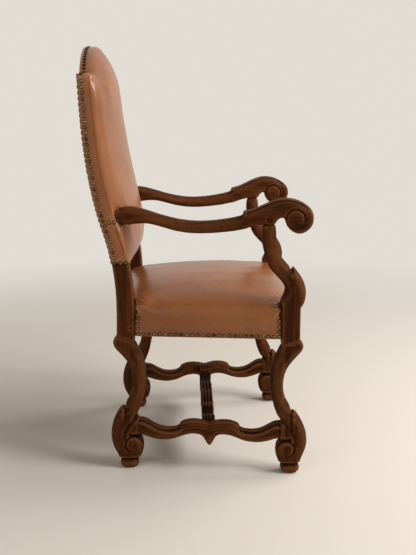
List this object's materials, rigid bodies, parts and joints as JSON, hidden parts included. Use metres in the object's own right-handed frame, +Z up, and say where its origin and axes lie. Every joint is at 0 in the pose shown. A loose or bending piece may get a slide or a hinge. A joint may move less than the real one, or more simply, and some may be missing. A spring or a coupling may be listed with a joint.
{
  "type": "carved armchair",
  "caption": "High-backed carved walnut armchair with scrolled legs, wavy H-shaped stretchers, curved arms, and a leather seat and arched back edged with brass nails.",
  "frame": {"origin": "on the floor, under the middle of the chair's box", "axes": "+Z up, the sitter faces -Y, and the sitter's left hand is at +X"},
  "size_m": [0.6382, 0.6146, 1.1477],
  "materials": {
    "walnut": "satin wax",
    "leather": "satin",
    "brass": "aged",
    "stuffing": "matte",
    "webbing": "matte",
    "hessian": "matte"
  },
  "bodies": {
    "root": {"armrest_left": "walnut", "armrest_right": "walnut", "back_border": "leather", "back_hessian": "hessian", "back_leather": "leather", "back_nails_left": "brass", "back_nails_right": "brass", "back_straps": "webbing", "back_stuffing": "stuffing", "corner_blocks": "walnut", "crest_nails": "brass", "crest_rail": "walnut", "cross_stretcher": "walnut", "front_leg_left": "walnut", "front_leg_right": "walnut", "front_post_left": "walnut", "front_post_right": "walnut", "front_seat_rail": "walnut", "joint_pegs": "walnut", "lower_back_rail": "walnut", "outside_back": "leather", "outside_back_nails": "brass", "rear_leg_left": "walnut", "rear_leg_right": "walnut", "rear_post_left": "walnut", "rear_post_right": "walnut", "rear_seat_rail": "walnut", "seat_hessian": "hessian", "seat_leather": "leather", "seat_nails_front": "brass", "seat_nails_left": "brass", "seat_nails_rear": "brass", "seat_nails_right": "brass", "seat_straps_cross": "webbing", "seat_straps_long": "webbing", "seat_stuffing": "stuffing", "side_seat_rail_left": "walnut", "side_seat_rail_right": "walnut", "side_stretcher_left": "walnut", "side_stretcher_right": "walnut"}
  },
  "joints": []
}
